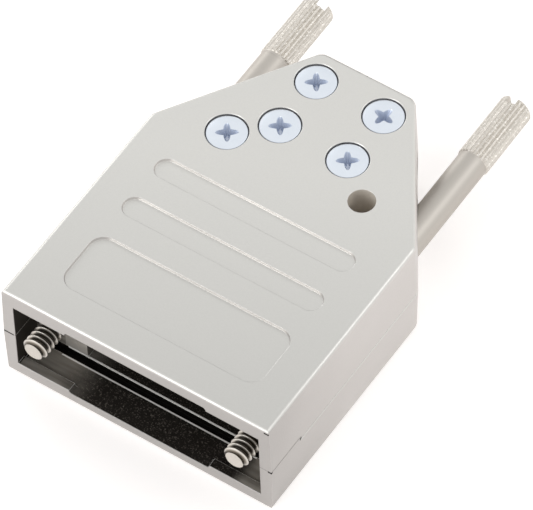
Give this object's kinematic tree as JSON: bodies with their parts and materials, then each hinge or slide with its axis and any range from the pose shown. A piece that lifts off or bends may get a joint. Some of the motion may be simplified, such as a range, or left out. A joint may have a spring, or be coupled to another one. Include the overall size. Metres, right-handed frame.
{
  "type": "d-sub hood",
  "caption": "Die-cast two-part hood for a nine-way D-sub connector, with captive thumbscrews, cable clamps and a straight and two blanked angled cable entries.",
  "frame": {"origin": "middle of the mating face, on the seam plane between the two thumbscrews", "axes": "+Y from the mating face to the cable end, +Z out of the face that holds the clamp screws, X along the connector"},
  "size_m": [0.0334, 0.0536, 0.0142],
  "materials": {
    "shell": "satin nickel plate on die-cast zinc",
    "thumbscrew": "turned and nickel plated",
    "machine_screw": "bright zinc plate with a blue tint",
    "clamp": "nickel plate on die-cast zinc",
    "clip": "spring steel",
    "plug": "satin nickel plate on die-cast zinc"
  },
  "bodies": {
    "hood": {"upper_shell": "shell", "lower_shell": "shell", "shell_screw_left": "machine_screw", "shell_screw_right": "machine_screw", "clamp_screw_front_left": "machine_screw", "clamp_screw_front_right": "machine_screw", "clamp_screw_rear_left": "machine_screw", "clamp_screw_rear_right": "machine_screw", "cable_clamp_front": "clamp", "cable_clamp_rear": "clamp", "blanking_plug_left": "plug", "blanking_plug_right": "plug"},
    "left_clip": {"retaining_clip_left": "clip"},
    "left_thumbscrew": {"thumbscrew_left": "thumbscrew"},
    "right_clip": {"retaining_clip_right": "clip"},
    "right_thumbscrew": {"thumbscrew_right": "thumbscrew"}
  },
  "joints": [
    {"name": "left_thumbscrew_float", "type": "slide", "parent": "hood", "child": "left_clip", "axis": [0, 1, 0], "range_m": [-0.0015, 0.0035]},
    {"name": "left_thumbscrew_turn", "type": "hinge", "parent": "left_clip", "child": "left_thumbscrew", "pos_m": [-0.0125, 0, 0], "axis": [0, 1, 0], "continuous": true},
    {"name": "right_thumbscrew_float", "type": "slide", "parent": "hood", "child": "right_clip", "axis": [0, 1, 0], "range_m": [-0.0015, 0.0035]},
    {"name": "right_thumbscrew_turn", "type": "hinge", "parent": "right_clip", "child": "right_thumbscrew", "pos_m": [0.0125, 0, 0], "axis": [0, 1, 0], "continuous": true}
  ]
}
